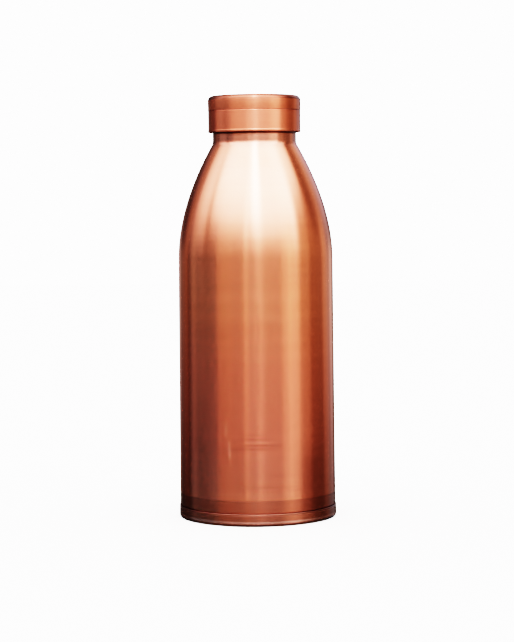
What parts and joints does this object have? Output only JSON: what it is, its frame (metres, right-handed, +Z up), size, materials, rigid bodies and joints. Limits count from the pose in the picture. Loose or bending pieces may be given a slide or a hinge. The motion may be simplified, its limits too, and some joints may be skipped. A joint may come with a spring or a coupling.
{
  "type": "copper water bottle",
  "caption": "Tall cylindrical copper water bottle with a long tapering shoulder, short neck, screw cap with an inner thread and silicone seal, and a shallow pressed base cup.",
  "frame": {"origin": "centre of the bottle's footprint, on the plane of the flat standing ring under the base cup", "axes": "+Z runs up the bottle's axis from base to cap; the body is round, so +X and +Y are fixed only by the thread, whose ridge on the collar starts at +X"},
  "size_m": [0.0834, 0.0834, 0.2226],
  "materials": {
    "body_shell": "brushed copper, satin",
    "base_cup": "brushed copper, slightly darker",
    "neck_collar": "turned copper",
    "cap_crown": "brushed copper, satin",
    "cap_skirt": "brushed copper, satin",
    "cap_thread_sleeve": "turned copper",
    "cap_liner": "pressed copper",
    "seal_ring": "translucent silicone"
  },
  "bodies": {
    "bottle": {"body_shell": "body_shell", "base_cup": "base_cup", "neck_collar": "neck_collar"},
    "seal": {"seal_ring": "seal_ring"},
    "cap": {"cap_crown": "cap_crown", "cap_skirt": "cap_skirt", "cap_thread_sleeve": "cap_thread_sleeve", "cap_liner": "cap_liner"}
  },
  "joints": [
    {"name": "cap_rise", "type": "slide", "parent": "bottle", "child": "seal", "axis": [0, 0, 1], "range_m": [0, 0.024]},
    {"name": "cap_turn", "type": "hinge", "parent": "seal", "child": "cap", "pos_m": [0, 0, 0.209], "axis": [0, 0, 1], "range_deg": [0, 2160]}
  ],
  "couplings": [
    {"joint": "cap_rise", "follows": "cap_turn", "m_per_rad": 0.00063662}
  ]
}
